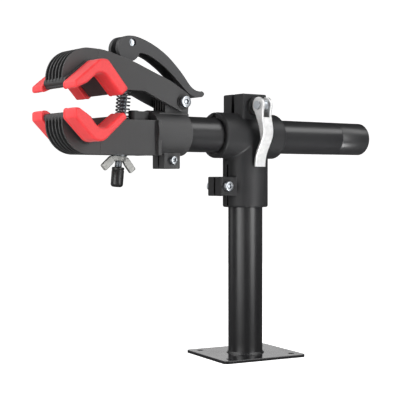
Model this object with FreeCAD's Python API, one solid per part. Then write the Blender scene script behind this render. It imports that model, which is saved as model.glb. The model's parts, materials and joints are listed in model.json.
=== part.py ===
import FreeCAD, Part
import math
import os

V = FreeCAD.Vector
os.makedirs("parts", exist_ok=True)

# Base plate and post. Origin: middle of the plate's underside.
PLATE_X = 102.0
PLATE_Y = 90.0
PLATE_T = 3.0
PLATE_CORNER = 5.0
BENCH_HOLE_R = 3.5
BENCH_HOLE_DX = 78.0
BENCH_HOLE_DY = 66.0
TUBE_R = 19.0
TUBE_WALL = 2.0
POST_TOP = 214.0
WELD_LEG = 2.5

# Head. Its parts are drawn with the arm along X and turned on the post at the end.
HEAD_TURN = 8.3
ARM_Z = 242.7
SLEEVE_R = 25.0
SLEEVE_LOW_Z = 164.0
CROSS_X = (-43.5, 39.5)
LINER_T = 1.5
RUN_GAP = 0.05
EAR_X = (-17.5, 16.0)
EAR_Y = 17.7
EAR_TOP = 288.3
EAR_SLOT = 5.0
POST_EAR_X = -43.0
POST_EAR_Y = 12.3
POST_EAR_Z = (176.5, 197.5)
POST_SLOT = 3.0
POST_SCREW = (-35.5, 187.0)

# Quick release lever on the head.
QR_X = -2.0
QR_Z = 275.0
QR_PIN_Y = -32.5
QR_HEAD_R = 9.0
QR_HALF_W = 7.0
QR_CHEEK = 3.0

# Arm tube.
ARM_START_X = -129.0
CAP_SEAM_X = 132.0
CAP_END_X = 176.5

# Clamp body, which is also the fixed lower jaw.
CLAMP_SLEEVE_R = 23.5
CLAMP_SLEEVE_X = (-131.0, -89.0)
JAW_LOW_Z = 219.4
JAW_HALF = 17.7
SIDE_T = 4.4
RIB_PITCH = 6.6
RIB_T = 1.6
PAD_Y = (21.5, 44.5)
TAB_Y = 39.5
PIVOT = (-97.3, 275.4)
PIVOT_R = 4.0
TONGUE_X = -115.5
TONGUE_HALF = 11.0

# Cam lever, rod, spring and wing nut.
PIN = (-154.4, 334.0)
PIN_R = 4.0
PIN_RECESS = 2.2
CAM_CENTRE = (-158.7, 327.5)
CAM_R = 13.1
LEVER_HALF = 9.5
LEVER_SLOT = 4.3
ROD_TILT = 5.2
ROD_R = 4.0
ROD_END = 144.8
SPRING_R = 6.5
SPRING_WIRE_R = 1.1
SPRING_TURNS = 9
SPRING_FROM = 45.3
SPRING_TO = 78.2
SEAT_FLOOR = 114.0
NUT_TOP = 116.2
CAP_TOP = 127.6
CAP_BOTTOM = 147.8


def rounded_wire(corners, y):
    """Closed outline in XZ at the given y; each corner is (x, z, radius)."""
    ends = []
    n = len(corners)
    for i in range(n):
        x, z, r = corners[i]
        p = V(x, y, z)
        a = V(corners[i - 1][0], y, corners[i - 1][1]) - p
        b = V(corners[(i + 1) % n][0], y, corners[(i + 1) % n][1]) - p
        a.normalize()
        b.normalize()
        if r <= 0:
            ends.append((p, None, p))
            continue
        half = a.getAngle(b) / 2
        back = r / math.tan(half)
        mid = (a + b).normalize()
        mid = p + mid * (r / math.sin(half) - r)
        ends.append((p + a * back, mid, p + b * back))
    edges = []
    for i in range(n):
        start, mid, stop = ends[i]
        if mid is not None:
            edges.append(Part.Arc(start, mid, stop).toShape())
        nxt = ends[(i + 1) % n][0]
        if (nxt - stop).Length > 1e-6:
            edges.append(Part.LineSegment(stop, nxt).toShape())
    return Part.Wire(edges)


def slab(corners, y0, y1):
    """Rounded XZ outline given thickness from y0 to y1."""
    return Part.Face(rounded_wire(corners, y0)).extrude(V(0, y1 - y0, 0))


def curved_slab(curves, half):
    """Closed XZ outline of smooth curves, each through a list of (x, z), given thickness 2 * half."""
    edges = []
    for points in curves:
        spline = Part.BSplineCurve()
        spline.interpolate([V(x, -half, z) for x, z in points])
        edges.append(spline.toShape())
    return Part.Face(Part.Wire(edges)).extrude(V(0, 2 * half, 0))


def strip(line, half):
    """Corner list of a band of constant width along a centre line of (x, z)."""
    left = []
    right = []
    for i in range(len(line)):
        p = V(line[i][0], 0, line[i][1])
        dirs = []
        if i > 0:
            dirs.append((p - V(line[i - 1][0], 0, line[i - 1][1])).normalize())
        if i < len(line) - 1:
            dirs.append((V(line[i + 1][0], 0, line[i + 1][1]) - p).normalize())
        d = sum(dirs, V(0, 0, 0)).normalize()
        side = V(-d.z, 0, d.x)
        scale = half / max(0.2, abs(side.dot(V(-dirs[0].z, 0, dirs[0].x))))
        left.append((p.x + side.x * scale, p.z + side.z * scale, 0.6))
        right.append((p.x - side.x * scale, p.z - side.z * scale, 0.6))
    return left + right[::-1]


def box(x0, x1, y0, y1, z0, z1):
    return Part.makeBox(x1 - x0, y1 - y0, z1 - z0, V(x0, y0, z0))


def bar(r, start, stop):
    """Round bar between two points."""
    a = V(*start)
    d = V(*stop) - a
    return Part.makeCylinder(r, d.Length, a, d)


def hexagon(across, start, stop):
    """Hexagonal bar between two points, given its width across flats."""
    a = V(*start)
    d = V(*stop) - a
    side = V(0, 0, 1) if abs(d.z) < 0.5 * d.Length else V(1, 0, 0)
    u = side.cross(d).normalize()
    w = d.cross(u).normalize()
    r = across / math.sqrt(3)
    pts = []
    for i in range(7):
        t = math.radians(60 * i + 12)
        pts.append(a + u * (r * math.cos(t)) + w * (r * math.sin(t)))
    return Part.Face(Part.makePolygon(pts)).extrude(d)


def fuse(shapes):
    return shapes[0].multiFuse(shapes[1:]).removeSplitter()


def soften(shape, radius, pick):
    """Round the picked edges; the edges that cannot take it stay sharp."""
    edges = [e for e in shape.Edges if pick(e)]
    try:
        out = shape.makeFillet(radius, edges)
        if out.isValid() and len(out.Solids) == len(shape.Solids):
            return out
    except Part.OCCError:
        pass
    return shape


def down_rod(shape):
    """Move a shape drawn along -Z from the origin onto the rod's line."""
    out = shape.copy()
    out.rotate(V(0, 0, 0), V(0, 1, 0), ROD_TILT)
    out.translate(V(PIN[0], 0, PIN[1]))
    return out


def base_plate():
    plate = Part.makeBox(PLATE_X, PLATE_Y, PLATE_T, V(-PLATE_X / 2, -PLATE_Y / 2, 0))
    corners = [e for e in plate.Edges if abs(e.BoundBox.ZLength - PLATE_T) < 1e-6]
    plate = plate.makeFillet(PLATE_CORNER, corners)
    for sx in (-1, 1):
        for sy in (-1, 1):
            x = sx * BENCH_HOLE_DX / 2
            y = sy * BENCH_HOLE_DY / 2
            plate = plate.cut(bar(BENCH_HOLE_R, (x, y, -1), (x, y, PLATE_T + 1)))
    rim = [e for e in plate.Edges if e.BoundBox.ZMin > PLATE_T - 1e-6 and e.BoundBox.XLength > 10]
    return plate.makeChamfer(0.4, rim)


def post_tube():
    outer = bar(TUBE_R, (0, 0, PLATE_T), (0, 0, POST_TOP))
    return outer.cut(bar(TUBE_R - TUBE_WALL, (0, 0, PLATE_T - 1), (0, 0, POST_TOP + 1)))


def post_weld():
    a = V(TUBE_R, 0, PLATE_T)
    pts = [a, a + V(WELD_LEG, 0, 0), a + V(0, 0, WELD_LEG), a]
    return Part.Face(Part.makePolygon(pts)).revolve(V(0, 0, 0), V(0, 0, 1), 360)


def t_head():
    x0, x1 = CROSS_X
    post = bar(SLEEVE_R, (0, 0, SLEEVE_LOW_Z), (0, 0, ARM_Z))
    cross = bar(SLEEVE_R, (x0, 0, ARM_Z), (x1, 0, ARM_Z))
    body = fuse([post, cross])
    top = box(EAR_X[0], EAR_X[1], -EAR_Y, EAR_Y, ARM_Z, EAR_TOP)
    top = soften(top, 1.6, lambda e: e.BoundBox.ZMax > ARM_Z + 1)
    ear = box(POST_EAR_X, -15, -POST_EAR_Y, POST_EAR_Y, POST_EAR_Z[0], POST_EAR_Z[1])
    ear = soften(ear, 1.2, lambda e: e.BoundBox.XMin < POST_EAR_X + 0.5)
    body = soften(body, 3.5, lambda e: e.BoundBox.YLength > 40 and e.BoundBox.ZLength < 60
                  and e.BoundBox.ZMin > SLEEVE_LOW_Z + 1 and e.BoundBox.XLength > 20)
    body = soften(body, 2.0, lambda e: e.BoundBox.XLength < 0.01 or e.BoundBox.ZMax < SLEEVE_LOW_Z + 0.01)
    body = fuse([body, top, ear])
    body = body.cut(bar(TUBE_R + RUN_GAP, (0, 0, 100), (0, 0, POST_TOP + 1.5)))
    body = body.cut(bar(TUBE_R + LINER_T + 2 * RUN_GAP, (x0 - 1, 0, ARM_Z), (x1 + 1, 0, ARM_Z)))
    body = body.cut(box(x0 - 1, x1 + 1, -EAR_SLOT / 2, EAR_SLOT / 2, ARM_Z, EAR_TOP + 1))
    body = body.cut(box(-60, 0, -POST_SLOT / 2, POST_SLOT / 2, SLEEVE_LOW_Z - 1, 211))
    body = body.cut(bar(3.2, (QR_X, -30, QR_Z), (QR_X, 30, QR_Z)))
    sx, sz = POST_SCREW
    return body.cut(bar(3.2, (sx, -30, sz), (sx, 30, sz)))


def socket_screw(x, z, y_head, y_tip, r, head_r, head_h):
    """Cap screw along Y with its head on the -Y side and a hexagonal socket."""
    head = bar(head_r, (x, y_head - head_h, z), (x, y_head, z))
    rim = [e for e in head.Edges if e.BoundBox.YMax < y_head - head_h + 0.01]
    head = head.makeChamfer(0.5, rim)
    head = head.cut(hexagon(1.25 * r, (x, y_head - head_h - 1, z), (x, y_head - head_h * 0.45, z)))
    return fuse([head, bar(r, (x, y_head - 0.5, z), (x, y_tip, z))])


def nut(x, z, y0, y1, across, hole_r):
    """Hexagonal nut along Y; its corners are turned down at both ends."""
    blank = bar(across / math.sqrt(3), (x, y0, z), (x, y1, z))
    ends = [e for e in blank.Edges if e.BoundBox.YLength < 0.01]
    body = hexagon(across, (x, y0, z), (x, y1, z)).common(blank.makeChamfer(0.7, ends))
    return body.cut(bar(hole_r, (x, y0 - 1, z), (x, y1 + 1, z)))


def washer(x, z, y0, y1, r, hole_r):
    return bar(r, (x, y0, z), (x, y1, z)).cut(bar(hole_r, (x, y0 - 1, z), (x, y1 + 1, z)))


def post_screw():
    return socket_screw(POST_SCREW[0], POST_SCREW[1], -POST_EAR_Y, POST_EAR_Y + 7.0, 3.0, 5.4, 5.5)


def post_nut():
    return nut(POST_SCREW[0], POST_SCREW[1], POST_EAR_Y, POST_EAR_Y + 5.0, 10.0, 3.0)


def qr_skewer():
    shank = bar(3.0, (QR_X, QR_PIN_Y, QR_Z), (QR_X, EAR_Y + 9.0, QR_Z))
    eye = bar(6.0, (QR_X - 3.8, QR_PIN_Y, QR_Z), (QR_X + 3.8, QR_PIN_Y, QR_Z))
    body = fuse([shank, eye])
    return body.cut(bar(3.0, (QR_X - 9, QR_PIN_Y, QR_Z), (QR_X + 9, QR_PIN_Y, QR_Z)))


def qr_cross_pin():
    w = QR_HALF_W + 0.6
    pin = bar(3.0, (QR_X - w, QR_PIN_Y, QR_Z), (QR_X + w, QR_PIN_Y, QR_Z))
    heads = []
    for s in (-1, 1):
        a = QR_X + s * (QR_HALF_W + 0.35)
        heads.append(bar(4.6, (a, QR_PIN_Y, QR_Z), (a + s * 1.3, QR_PIN_Y, QR_Z)))
    return fuse([pin] + heads)


def qr_cup():
    cup = bar(9.8, (QR_X, -EAR_Y - 4.0, QR_Z), (QR_X, -EAR_Y, QR_Z))
    cup = cup.cut(bar(QR_HEAD_R + 0.4, (QR_X - 20, QR_PIN_Y, QR_Z), (QR_X + 20, QR_PIN_Y, QR_Z)))
    return cup.cut(bar(3.1, (QR_X, -40, QR_Z), (QR_X, 0, QR_Z)))


def qr_nut():
    body = nut(QR_X, QR_Z, EAR_Y + 1.6, EAR_Y + 8.0, 13.0, 3.0)
    dome = Part.makeSphere(6.2, V(QR_X, EAR_Y + 7.0, QR_Z))
    dome = dome.common(box(QR_X - 9, QR_X + 9, EAR_Y + 7.9, EAR_Y + 14, QR_Z - 9, QR_Z + 9))
    dome = dome.cut(bar(3.0, (QR_X, 0, QR_Z), (QR_X, EAR_Y + 9.0, QR_Z)))
    return fuse([body, dome])


def qr_washer():
    return washer(QR_X, QR_Z, EAR_Y, EAR_Y + 1.6, 9.0, 3.0)


def yz_band(line, half, x0, x1):
    """Band of constant width along a smooth line of (y, z) points, given thickness along X."""
    edges = []
    ends = []
    for side in (half, -half):
        pts = []
        for i in range(len(line)):
            before = V(x0, *line[max(i - 1, 0)])
            after = V(x0, *line[min(i + 1, len(line) - 1)])
            d = (after - before).normalize()
            pts.append(V(x0, line[i][0] - d.z * side, line[i][1] + d.y * side))
        curve = Part.BSplineCurve()
        curve.interpolate(pts)
        edges.append(curve.toShape())
        ends.append((pts[0], pts[-1]))
    edges.append(Part.LineSegment(ends[0][0], ends[1][0]).toShape())
    edges.append(Part.LineSegment(ends[0][1], ends[1][1]).toShape())
    return Part.Face(Part.Wire(Part.__sortEdges__(edges))).extrude(V(x1 - x0, 0, 0))


QR_LINE = [(-38.6, 261.5), (-40.3, 253.0), (-41.2, 246.0), (-38.4, 237.0), (-33.4, 228.4), (-29.6, 220.4),
           (-28.2, 213.5), (-27.9, 208.4)]


def yz_slab(points, x0, x1):
    """Polygon of (y, z) points given thickness along X."""
    wire = Part.makePolygon([V(x0, y, z) for y, z in points + points[:1]])
    return Part.Face(wire).extrude(V(x1 - x0, 0, 0))


def qr_lever():
    x0 = QR_X - QR_HALF_W
    x1 = QR_X + QR_HALF_W
    web = yz_band(QR_LINE, 1.3, x0, x1)
    flank = yz_slab([(-41.0, 274), (-39.6, 261.5), (-41.4, 253.0), (-42.2, 246.0), (-39.4, 237.0),
                     (-37.2, 237.0), (-36.4, 244.0), (-33.6, 254.0), (-29.4, 263.0), (-25.4, 271.0)], x0, x1)
    disc = bar(QR_HEAD_R, (x0, QR_PIN_Y, QR_Z), (x1, QR_PIN_Y, QR_Z))
    forks = fuse([flank, disc])
    inside = box(x0 + QR_CHEEK, x1 - QR_CHEEK, -60, -10, 225, 300)
    body = fuse([forks.cut(inside), web])
    return body.cut(bar(3.0 + RUN_GAP, (x0 - 1, QR_PIN_Y, QR_Z), (x1 + 1, QR_PIN_Y, QR_Z)))


def tube_liner():
    x0, x1 = CROSS_X
    r = TUBE_R + RUN_GAP
    body = bar(r + LINER_T, (x0 + 1.5, 0, ARM_Z), (x1 - 1.5, 0, ARM_Z))
    body = body.cut(bar(r, (x0 - 1, 0, ARM_Z), (x1 + 1, 0, ARM_Z)))
    return body.cut(box(x0 - 1, x1 + 1, -1.5, 1.5, ARM_Z, ARM_Z + 40))


def arm_tube():
    body = bar(TUBE_R, (ARM_START_X, 0, ARM_Z), (CAP_SEAM_X, 0, ARM_Z))
    return body.cut(bar(TUBE_R - TUBE_WALL, (ARM_START_X - 1, 0, ARM_Z), (CAP_SEAM_X + 1, 0, ARM_Z)))


def tube_end_cap():
    skirt = bar(TUBE_R, (CAP_SEAM_X, 0, ARM_Z), (CAP_END_X, 0, ARM_Z))
    rim = [e for e in skirt.Edges if e.BoundBox.XMin > CAP_END_X - 0.01]
    skirt = skirt.makeFillet(2.2, rim)
    spigot = bar(TUBE_R - TUBE_WALL, (CAP_SEAM_X - 22, 0, ARM_Z), (CAP_SEAM_X + 1, 0, ARM_Z))
    body = fuse([skirt, spigot])
    return body.cut(bar(TUBE_R - 2 * TUBE_WALL, (0, 0, ARM_Z), (CAP_END_X - 3, 0, ARM_Z)))


LOWER_PAD = [(-241.5, 263.4, 3.0), (-235.5, 263.0, 4.0), (-224.5, 256.2, 15.0), (-211.5, 240.9, 9.0),
             (-186.3, 261.2, 3.0), (-181.8, 254.8, 3.0), (-208.3, 230.9, 11.0), (-218.6, 230.9, 11.0),
             (-241.5, 253.4, 4.0)]
UPPER_PAD = [(-241.5, 279.9, 2.5), (-226.5, 286.6, 14.0), (-211.5, 300.3, 9.0), (-188.8, 275.2, 3.0),
             (-180.6, 283.3, 3.0), (-204.0, 311.1, 7.0), (-213.2, 311.1, 9.0), (-241.5, 287.9, 3.0)]
LOWER_TAB = [(-237.5, 258.2), (-228.0, 247.6), (-214.0, 236.3), (-209.3, 236.6), (-187.0, 256.0)]
UPPER_TAB = [(-237.0, 284.6), (-226.0, 292.5), (-211.0, 304.9), (-206.5, 303.2), (-187.0, 281.8)]
LOWER_TROUGH = [(-239.5, 254.0, 3.8), (-239.5, 262.7, 3.8), (-231.5, 257.8, 6.0), (-211.5, 237.4, 3.0),
                (-188.6, 256.0, 1.2), (-180.0, 252.0, 2.0), (-196.0, 236.0, 3.0), (-214.0, 229.0, 3.0),
                (-236.0, 250.0, 3.0)]
UPPER_TROUGH = [(-239.5, 284.0, 3.8), (-228.0, 289.2, 8.0), (-211.5, 303.9, 3.0), (-187.0, 278.3, 1.2),
                (-182.6, 282.4, 1.2), (-203.5, 308.5, 3.0), (-214.5, 311.0, 3.0), (-233.0, 296.0, 3.0),
                (-239.5, 292.9, 3.8)]


def pad(outline, tab, side):
    """Rubber cover slid over one end of a jaw's trough."""
    y0 = side * PAD_Y[0]
    y1 = side * PAD_Y[1]
    body = slab(outline, y0, y1)
    body = soften(body, 1.6, lambda e: abs(e.BoundBox.YMin - y1) + abs(e.BoundBox.YMax - y1) < 0.02)
    return body.cut(slab(strip(tab, 1.7), y0 - side, side * (TAB_Y + 0.3)))


def nose_ribs(outline, clip):
    """Parallel ribs of a jaw, cut from its outline inside the clip box."""
    ribs = []
    for i in range(6):
        y = (i - 2.5) * RIB_PITCH
        ribs.append(slab(outline, y - RIB_T / 2, y + RIB_T / 2).common(clip))
    return ribs


def side_plates(outline):
    return [slab(outline, s * JAW_HALF, s * (JAW_HALF - SIDE_T)) for s in (-1, 1)]


def trough(profile, tab):
    y = PAD_Y[0] - 0.1
    return [slab(profile, -y, y), slab(strip(tab, 1.5), -TAB_Y, TAB_Y)]


LOWER_NOSE = [(-239.8, 258.0, 1.5), (-241.0, 219.4, 30.0), (-131.0, 219.4, 0), (-131.0, 255.2, 0),
              (-181.0, 254.6, 1.0), (-211.5, 233.0, 0)]
UPPER_ARM = [(-240.0, 288.0, 1.5), (-240.0, 324.4, 29.0), (-194.0, 323.4, 80.0), (-158.0, 313.6, 150.0),
             (-112.0, 296.0, 50.0), (-82.6, 279.4, 9.7), (-95.5, 263.9, 9.7), (-127.9, 277.2, 12.0),
             (-145.0, 284.8, 10.0), (-165.5, 284.6, 1.5), (-183.6, 281.6, 1.0), (-211.5, 308.0, 0)]


def lower_jaw():
    nose_box = box(-260, -196, -40, 40, 200, 300)
    parts = nose_ribs(LOWER_NOSE, nose_box) + trough(LOWER_TROUGH, LOWER_TAB)
    parts.append(slab(LOWER_NOSE, -JAW_HALF, JAW_HALF).common(box(-197, -131, -40, 40, 200, 300)))
    parts.append(bar(CLAMP_SLEEVE_R, (CLAMP_SLEEVE_X[0], 0, ARM_Z), (CLAMP_SLEEVE_X[1], 0, ARM_Z)))
    parts.append(box(-131.0, -127.5, -22.1, 22.1, JAW_LOW_Z, 255.2))
    parts.append(box(-147.6, -110, -5.2, 5.2, 250, 264.7))
    parts.append(bar(5.2, (-147.6, 0, 250), (-147.6, 0, 265.3)))
    parts.append(slab([(-124, 250, 0), (-124, 263.6, 1.0), (-86.8, 263.6, 1.0), (-86.8, 250, 1.5)], -13, 13))
    tongue = slab([(TONGUE_X, 255, 0), (TONGUE_X, 279.5, 3.0), (-104, 287.0, 6.0), (-84.9, 284.4, 9.0),
                   (-86.8, 255, 0)], -TONGUE_HALF, TONGUE_HALF)
    for i in range(5):
        y = (i - 2) * 4.5
        tongue = tongue.cut(box(TONGUE_X - 1, TONGUE_X + 3, y - 1.5, y + 1.5, 265.4, 281))
    parts.append(tongue)
    ear = box(-116.4, -96.7, -11, 11, 205.6, 225)
    parts.append(soften(ear, 1.0, lambda e: e.BoundBox.ZMax < 206))
    body = fuse(parts)
    body = body.cut(bar(TUBE_R + RUN_GAP, (ARM_START_X - 1, 0, ARM_Z), (0, 0, ARM_Z)))
    body = body.cut(box(-137, -80, -1.5, 1.5, 200, 226))
    body = body.cut(bar(2.65, (-106.8, -20, 214.5), (-106.8, 20, 214.5)))
    body = body.cut(bar(PIVOT_R + 0.05, (PIVOT[0], -30, PIVOT[1]), (PIVOT[0], 30, PIVOT[1])))
    slot = fuse([box(-2.4, 2.4, -4.6, 4.6, -117, -65), bar(4.6, (-2.4, 0, -117), (-2.4, 0, -65)),
                 bar(4.6, (2.4, 0, -117), (2.4, 0, -65))])
    body = body.cut(down_rod(slot))
    return body.cut(down_rod(bar(9.4, (0, 0, -SEAT_FLOOR - 6), (0, 0, -SEAT_FLOOR))))


def upper_jaw():
    nose_box = box(-260, -198, -40, 40, 270, 340)
    parts = nose_ribs(UPPER_ARM, nose_box) + trough(UPPER_TROUGH, UPPER_TAB)
    parts += [p.common(box(-200, -60, -40, 40, 250, 340)) for p in side_plates(UPPER_ARM)]
    saddle = slab([(-200, 300, 0), (-200, 322.6, 0), (-194, 322.8, 20.0), (-158, 313.1, 150.0),
                   (-136.0, 304.8, 1.0), (-136.0, 290.0, 1.0), (-182, 288.5, 0)], -JAW_HALF + 1, JAW_HALF - 1)
    parts.append(saddle)
    body = fuse(parts)
    body = body.cut(bar(PIVOT_R + 0.05, (PIVOT[0], -30, PIVOT[1]), (PIVOT[0], 30, PIVOT[1])))
    slot = fuse([box(-3.6, 3.6, -4.6, 4.6, -52, -4), bar(4.6, (-3.6, 0, -52), (-3.6, 0, -4)),
                 bar(4.6, (3.6, 0, -52), (3.6, 0, -4))])
    return body.cut(down_rod(slot))


def pivot_bolt():
    y = JAW_HALF + 1.5
    return socket_screw(PIVOT[0], PIVOT[1], -y, y + 7.0, PIVOT_R, 6.1, 5.0)


def pivot_washers():
    y = JAW_HALF
    return Part.makeCompound([washer(PIVOT[0], PIVOT[1], y0, y0 + 1.5, 7.6, PIVOT_R) for y0 in (-y - 1.5, y)])


def pivot_nut():
    y = JAW_HALF + 1.5
    return nut(PIVOT[0], PIVOT[1], y, y + 6.5, 13.0, PIVOT_R)


def sleeve_screw():
    return socket_screw(-106.8, 214.5, -11, 11 + 6.0, 2.5, 4.4, 5.0)


def sleeve_nut():
    return nut(-106.8, 214.5, 11, 11 + 4.0, 8.0, 2.5)


LEVER_TOP = [(-171.6, 329.0), (-167.6, 336.9), (-157.5, 340.7), (-146.0, 339.5), (-129.6, 333.7),
             (-113.0, 324.2), (-99.0, 312.3), (-87.5, 299.9), (-79.6, 291.6), (-72.6, 288.6), (-66.8, 288.6)]
LEVER_TIP = [(-66.8, 288.6), (-63.9, 286.0), (-66.4, 282.6)]
LEVER_UNDER = [(-66.4, 282.6), (-73.0, 281.9), (-81.8, 284.6), (-91.8, 291.9), (-107.4, 305.9),
               (-124.1, 317.3), (-136.0, 322.6), (-144.6, 324.0)]
LEVER_NECK = [(-144.6, 324.0), (-149.0, 322.4), (-152.2, 318.4)]


def cam_lever():
    heel = [(-152.2, 318.4), (-163.0, 320.0), (-171.6, 329.0)]
    body = curved_slab([LEVER_TOP, LEVER_TIP, LEVER_UNDER, LEVER_NECK, heel], LEVER_HALF)
    disc = bar(CAM_R, (CAM_CENTRE[0], -LEVER_HALF, CAM_CENTRE[1]), (CAM_CENTRE[0], LEVER_HALF, CAM_CENTRE[1]))
    body = fuse([body, disc])
    inner = [(-144.0, 336.0, 3.0), (-129.0, 330.3, 60.0), (-112.6, 320.8, 60.0), (-97.0, 307.0, 60.0),
             (-81.0, 289.6, 3.0), (-84.0, 276.0, 0), (-144.0, 300.0, 0)]
    body = body.cut(slab(inner, -LEVER_HALF + 2.4, LEVER_HALF - 2.4))
    body = body.cut(box(-190, -142, -LEVER_SLOT, LEVER_SLOT, 300, 350))
    return body.cut(bar(PIN_R + RUN_GAP, (PIN[0], -20, PIN[1]), (PIN[0], 20, PIN[1])))


def barrel_pin():
    y = LEVER_HALF - PIN_RECESS
    return bar(PIN_R, (PIN[0], -y, PIN[1]), (PIN[0], y, PIN[1]))


def clamp_rod():
    eye = bar(6.2, (0, -LEVER_SLOT + 0.2, 0), (0, LEVER_SLOT - 0.2, 0))
    body = fuse([eye, bar(ROD_R, (0, 0, 0), (0, 0, -ROD_END))])
    return down_rod(body.cut(bar(PIN_R, (0, -9, 0), (0, 9, 0))))


def rod_end_cap():
    body = bar(6.4, (0, 0, -CAP_TOP), (0, 0, -CAP_BOTTOM))
    body = body.makeFillet(2.6, [e for e in body.Edges if e.BoundBox.ZMax < -CAP_BOTTOM + 0.1])
    return down_rod(body.cut(bar(ROD_R, (0, 0, -CAP_TOP + 1), (0, 0, -ROD_END))))


def jaw_spring():
    length = SPRING_TO - SPRING_FROM - 2 * SPRING_WIRE_R
    helix = Part.makeHelix(length / SPRING_TURNS, length, SPRING_R)
    start = Part.Wire(Part.makeCircle(SPRING_WIRE_R, V(SPRING_R, 0, 0), V(0, 1, 0.1)))
    coil = Part.Wire(helix.Edges).makePipeShell([start], True, True)
    coil.translate(V(0, 0, -SPRING_TO + SPRING_WIRE_R))
    return down_rod(coil)


def nut_washer():
    top = SEAT_FLOOR + 0.6
    ring = bar(8.2, (0, 0, -top), (0, 0, -NUT_TOP))
    return down_rod(ring.cut(bar(ROD_R + RUN_GAP, (0, 0, -top + 1), (0, 0, -NUT_TOP - 1))))


def wing_nut():
    top = NUT_TOP
    hub = Part.makeCone(7.6, 6.2, 5.2, V(0, 0, -top), V(0, 0, -1))
    wings = []
    for s in (-1, 1):
        shape = [(s * 4.5, -top, 0), (s * 10.4, -top - 0.2, 3.0), (s * 21.0, -top - 11.4, 1.2),
                 (s * 15.0, -top - 16.8, 1.2), (s * 7.8, -top - 9.6, 2.0), (s * 6.4, -top - 5.2, 0),
                 (s * 4.5, -top - 5.2, 0)]
        wings.append(slab(shape, -1.9, 1.9))
    body = fuse([hub] + wings)
    return down_rod(body.cut(bar(ROD_R + RUN_GAP, (0, 0, 0), (0, 0, -top - 9))))


def turned(shape):
    out = shape.copy()
    out.rotate(V(0, 0, 0), V(0, 0, 1), HEAD_TURN)
    return out


def main():
    nodes = {"base_plate": base_plate(), "post_tube": post_tube(), "post_weld": post_weld()}
    head = {
        "t_head": t_head(), "post_clamp_screw": post_screw(), "post_clamp_nut": post_nut(),
        "qr_skewer": qr_skewer(), "qr_cross_pin": qr_cross_pin(), "qr_cup": qr_cup(),
        "qr_nut": qr_nut(), "qr_washer": qr_washer(), "qr_lever": qr_lever(),
        "tube_liner": tube_liner(), "arm_tube": arm_tube(), "tube_end_cap": tube_end_cap(),
        "lower_jaw": lower_jaw(), "upper_jaw": upper_jaw(),
        "lower_pad_front": pad(LOWER_PAD, LOWER_TAB, -1), "lower_pad_back": pad(LOWER_PAD, LOWER_TAB, 1),
        "upper_pad_front": pad(UPPER_PAD, UPPER_TAB, -1), "upper_pad_back": pad(UPPER_PAD, UPPER_TAB, 1),
        "pivot_bolt": pivot_bolt(), "pivot_washers": pivot_washers(), "pivot_nut": pivot_nut(),
        "sleeve_screw": sleeve_screw(), "sleeve_nut": sleeve_nut(),
        "cam_lever": cam_lever(), "barrel_pin": barrel_pin(), "clamp_rod": clamp_rod(),
        "rod_end_cap": rod_end_cap(), "jaw_spring": jaw_spring(),
        "nut_washer": nut_washer(), "wing_nut": wing_nut(),
    }
    for name in head:
        nodes[name] = turned(head[name])
    for name in nodes:
        shape = nodes[name]
        shape.exportStep("parts/" + name + ".step")
        b = shape.BoundBox
        print(name, len(shape.Solids), shape.isValid(), round(shape.Volume / 1000, 2),
              [round(v, 1) for v in (b.XMin, b.XMax, b.YMin, b.YMax, b.ZMin, b.ZMax)])


main()
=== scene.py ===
import bpy
import bmesh
import json
import math
from mathutils import Matrix, Vector, noise

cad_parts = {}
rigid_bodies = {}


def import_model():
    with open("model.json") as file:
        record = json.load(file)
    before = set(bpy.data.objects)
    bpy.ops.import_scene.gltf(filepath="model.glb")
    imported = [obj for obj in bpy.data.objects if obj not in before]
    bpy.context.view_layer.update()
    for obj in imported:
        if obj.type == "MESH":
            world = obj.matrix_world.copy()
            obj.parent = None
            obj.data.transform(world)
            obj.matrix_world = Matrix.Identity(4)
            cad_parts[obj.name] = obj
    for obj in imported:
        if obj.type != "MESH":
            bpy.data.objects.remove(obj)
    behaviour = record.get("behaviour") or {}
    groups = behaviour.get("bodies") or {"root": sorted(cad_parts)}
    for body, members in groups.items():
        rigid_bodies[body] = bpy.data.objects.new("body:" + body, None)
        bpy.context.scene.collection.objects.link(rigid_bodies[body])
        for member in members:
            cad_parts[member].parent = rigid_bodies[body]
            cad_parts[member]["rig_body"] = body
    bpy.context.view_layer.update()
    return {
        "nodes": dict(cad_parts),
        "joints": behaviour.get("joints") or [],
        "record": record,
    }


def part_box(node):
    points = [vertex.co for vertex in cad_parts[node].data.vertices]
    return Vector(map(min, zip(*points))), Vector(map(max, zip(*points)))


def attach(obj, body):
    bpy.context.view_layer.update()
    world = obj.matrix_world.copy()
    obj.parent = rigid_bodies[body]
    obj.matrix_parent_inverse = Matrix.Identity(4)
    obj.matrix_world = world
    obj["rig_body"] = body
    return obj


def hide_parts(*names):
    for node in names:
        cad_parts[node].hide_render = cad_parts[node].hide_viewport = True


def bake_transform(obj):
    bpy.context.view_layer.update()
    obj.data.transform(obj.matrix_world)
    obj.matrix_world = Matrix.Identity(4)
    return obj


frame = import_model()
nodes = frame["nodes"]
joints = {j["name"]: j for j in frame["joints"]}
MM = 0.001

# The head's own frame: X along the arm (the jaw at -X), turned about the post from the row's frame.
ARM_AXIS = Vector(joints["arm_roll"]["axis"])
HEAD = Matrix.Rotation(math.atan2(ARM_AXIS.y, ARM_AXIS.x), 4, "Z")
TO_HEAD = HEAD.inverted()


def head_box(node):
    """(lowest corner, highest corner) of a CAD node in the head's frame, in metres."""
    pts = [TO_HEAD @ v.co for v in nodes[node].data.vertices]
    low = Vector([min(p[i] for p in pts) for i in range(3)])
    high = Vector([max(p[i] for p in pts) for i in range(3)])
    return low, high


# ---------------------------------------------------------------- materials

def link(tree, a, b):
    tree.links.new(a, b)


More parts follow.
